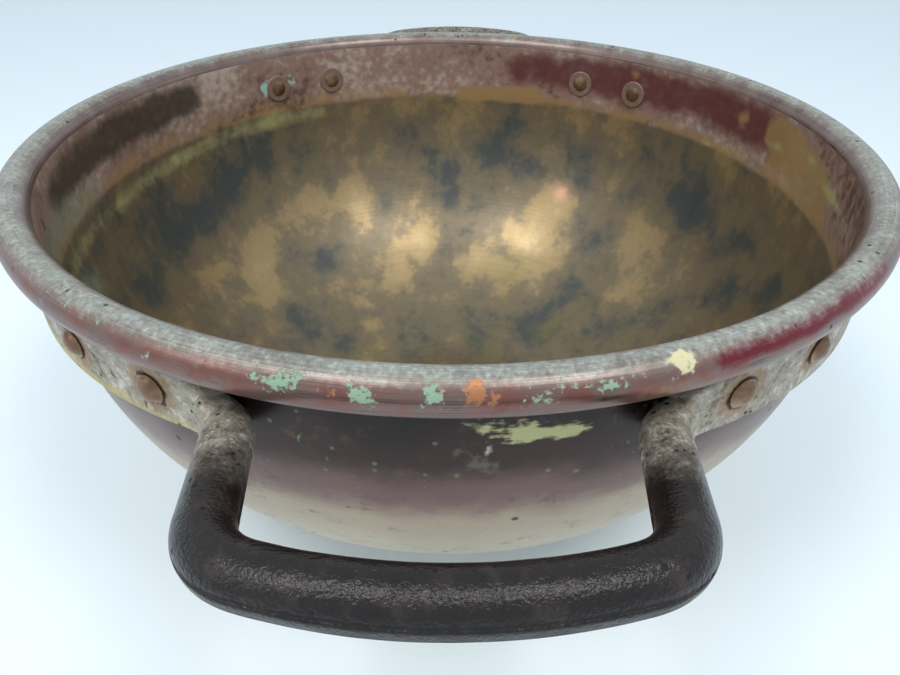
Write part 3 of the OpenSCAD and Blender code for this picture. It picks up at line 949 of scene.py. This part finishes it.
def fastener_tree():
    """Sets one turned form on each seat, facing out and tilted a little at random."""
    tree = new_tree("set_fasteners", [
        ("Sides", "NodeSocketInt"), ("Tilt", "NodeSocketFloat"), ("Seed", "NodeSocketInt"),
        ("Seats", "NodeSocketObject"), ("Finish", "NodeSocketMaterial")])
    given = tree.nodes.new("NodeGroupInput").outputs
    form = add_node(tree, "GeometryNodeGroup", node_tree=turned)
    tree.links.new(given["Geometry"], form.inputs["Geometry"])
    tree.links.new(given["Sides"], form.inputs["Sides"])
    seats = add_node(tree, "GeometryNodeObjectInfo", [("Object", given["Seats"])])
    place = tree.nodes.new("GeometryNodeInputPosition").outputs[0]
    outward = vector(tree, "MULTIPLY", place, (1, 1, 0))
    facing = add_node(tree, "FunctionNodeAlignRotationToVector", [("Vector", outward)], axis="Z")
    low = calc(tree, "MULTIPLY", given["Tilt"], -1)
    sway = [add_node(tree, "FunctionNodeRandomValue",
                     [(2, low), (3, given["Tilt"]), ("Seed", calc(tree, "ADD", given["Seed"], k))],
                     data_type="FLOAT").outputs[1] for k in (0, 1)]
    tilts = add_node(tree, "ShaderNodeCombineXYZ", [(0, sway[0]), (1, sway[1])])
    turn = add_node(tree, "FunctionNodeEulerToRotation", [(0, tilts.outputs[0])])
    leaning = add_node(tree, "FunctionNodeRotateRotation",
                       [(0, facing.outputs[0]), (1, turn.outputs[0])], rotation_space="LOCAL")
    set_out = add_node(tree, "GeometryNodeInstanceOnPoints",
                       [("Points", seats.outputs["Geometry"]), ("Instance", form.outputs[0]),
                        ("Rotation", leaning.outputs[0])])
    real = add_node(tree, "GeometryNodeRealizeInstances", [("Geometry", set_out.outputs[0])])
    last = add_node(tree, "GeometryNodeSetMaterial",
                    [("Geometry", real.outputs[0]), ("Material", given["Finish"])])
    tree.links.new(last.outputs[0], tree.nodes.new("NodeGroupOutput").inputs[0])
    return tree


def seat_points(kind, radius):
    """The seats of a kind as a mesh of loose points."""
    mesh = bpy.data.meshes.new(kind + "_seats")
    mesh.from_pydata(seats(kind, radius), [], [])
    holder = bpy.data.objects.new(kind + "_seats", mesh)
    bpy.context.collection.objects.link(holder)
    return holder


def rivet_finish():
    """Brown copper of uneven tone, with a few pale yellowish spots."""
    skin = Finish("rivet_copper", tone(112, 84, 66), 0.36, 0.6)
    fine = skin.cloud(3, detail=4, seed=6)
    middle = skin.cloud(9, detail=3, seed=9)
    skin.colour = skin.grade(skin.sum(middle, skin.mul(fine, 0.5)), 1.5,
                             tone(74, 56, 46), tone(118, 90, 70), tone(160, 132, 100))
    skin.coat(skin.fade(fine, 0.9, 1.4), tone(150, 140, 96), 0.6, 0.2)
    skin.raise_by(skin.mul(fine, 0.03))
    return skin.done()


def washer_finish():
    """The brown of the band around it, with a paler rubbed edge."""
    skin = Finish("washer_copper", tone(112, 90, 78), 0.4, 0.4)
    fine = skin.cloud(3, detail=4, seed=16)
    skin.colour = skin.grade(fine, 1.5,
                             tone(72, 46, 46), tone(104, 72, 68), tone(136, 108, 98))
    edge = skin.mul(skin.fade(skin.mark("row"), 0.6, 1), skin.fade(skin.mark("row"), 4.4, 4))
    skin.coat(skin.mul(edge, 0.45), tone(170, 150, 134), 0.36, 0.4)
    skin.raise_by(skin.mul(fine, 0.03))
    return skin.done()


fasteners = fastener_tree()
for name, kind, section, radius, sides, sway, finish in (
        ("copper_rivets", "rivet", rivet_section(), flange_out, 48, 0.02, rivet_finish()),
        ("copper_washers", "burr", [(r, z - burr_seat) for r, z in burr_section()],
         burr_seat, 56, 0.004, washer_finish())):
    holder = seat_points(kind, radius)
    piece = grow(name, section_mesh(kind + "_section", section), fasteners, {
        "Sides": sides, "Tilt": sway, "Seed": 5, "Seats": holder, "Finish": finish})
    bpy.data.objects.remove(holder)
    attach(piece, "root")
    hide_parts(*[f"{place}_{kind}" for place in FASTENERS])


# ---------------------------------------------------------------------------
# Studio. A pale floor, a bright sky all round, and two soft lamps; the camera
# stands over the front handle and looks down across the bowl.
# ---------------------------------------------------------------------------
FLOOR_HALF = 12.0
floor_mesh = bpy.data.meshes.new("studio_floor")
floor_mesh.from_pydata([(-FLOOR_HALF, -FLOOR_HALF, 0), (FLOOR_HALF, -FLOOR_HALF, 0),
                        (FLOOR_HALF, FLOOR_HALF, 0), (-FLOOR_HALF, FLOOR_HALF, 0)],
                       [], [(0, 1, 2, 3)])
floor = bpy.data.objects.new("studio_floor", floor_mesh)
bpy.context.collection.objects.link(floor)
floor_paint = bpy.data.materials.new("pale_floor")
floor_paint.use_nodes = True
paint = floor_paint.node_tree.nodes["Principled BSDF"]
paint.inputs["Base Color"].default_value = tone(228, 238, 244)
paint.inputs["Roughness"].default_value = 0.6
paint.inputs["Specular IOR Level"].default_value = 0.2
floor_mesh.materials.append(floor_paint)

sky = bpy.data.worlds.new("studio_sky")
sky.use_nodes = True
glow = sky.node_tree.nodes["Background"]
glow.inputs["Color"].default_value = (0.84, 0.93, 1.0, 1)
glow.inputs["Strength"].default_value = 0.88
bpy.context.scene.world = sky


def lamp(name, place, target, size, power, colour):
    data = bpy.data.lights.new(name, "AREA")
    data.shape = "DISK"
    data.size = size
    data.energy = power
    data.color = colour
    light = bpy.data.objects.new(name, data)
    light.location = place
    light.rotation_euler = (Vector(target) - Vector(place)).to_track_quat("-Z", "Y").to_euler()
    bpy.context.collection.objects.link(light)


lamp("left_lamp", (-0.5, -0.55, 1.4), (0, -0.1, 0.1), 0.5, 7, (1.0, 0.99, 0.97))
lamp("right_lamp", (0.5, -0.55, 1.4), (0, -0.1, 0.1), 0.5, 7, (1.0, 0.98, 0.95))
lamp("low_lamp", (-0.93, -0.67, 0.8), (0.05, 0.1, 0.08), 0.3, 1.2, (1.0, 0.93, 0.9))

CAMERA_PLACE = Vector((0, -0.35435, 0.32194))
CAMERA_PITCH = 0.6346
CAMERA_YAW = 0.0045
CAMERA_ROLL = 0.0101
camera_data = bpy.data.cameras.new("camera")
camera_data.sensor_width = 36
camera_data.lens = 27.04
camera_data.clip_start = 0.01
camera = bpy.data.objects.new("camera", camera_data)
forward = Vector((math.sin(CAMERA_YAW) * math.cos(CAMERA_PITCH),
                  math.cos(CAMERA_YAW) * math.cos(CAMERA_PITCH), -math.sin(CAMERA_PITCH)))
right = forward.cross(Vector((0, 0, 1))).normalized()
upward = right.cross(forward)
axis_x = right * math.cos(CAMERA_ROLL) + upward * math.sin(CAMERA_ROLL)
axis_y = upward * math.cos(CAMERA_ROLL) - right * math.sin(CAMERA_ROLL)
turn = Matrix((axis_x, axis_y, -forward)).transposed()
camera.matrix_world = Matrix.LocRotScale(CAMERA_PLACE, turn, None)
bpy.context.collection.objects.link(camera)
bpy.context.scene.camera = camera
bpy.context.scene.view_settings.view_transform = "Standard"
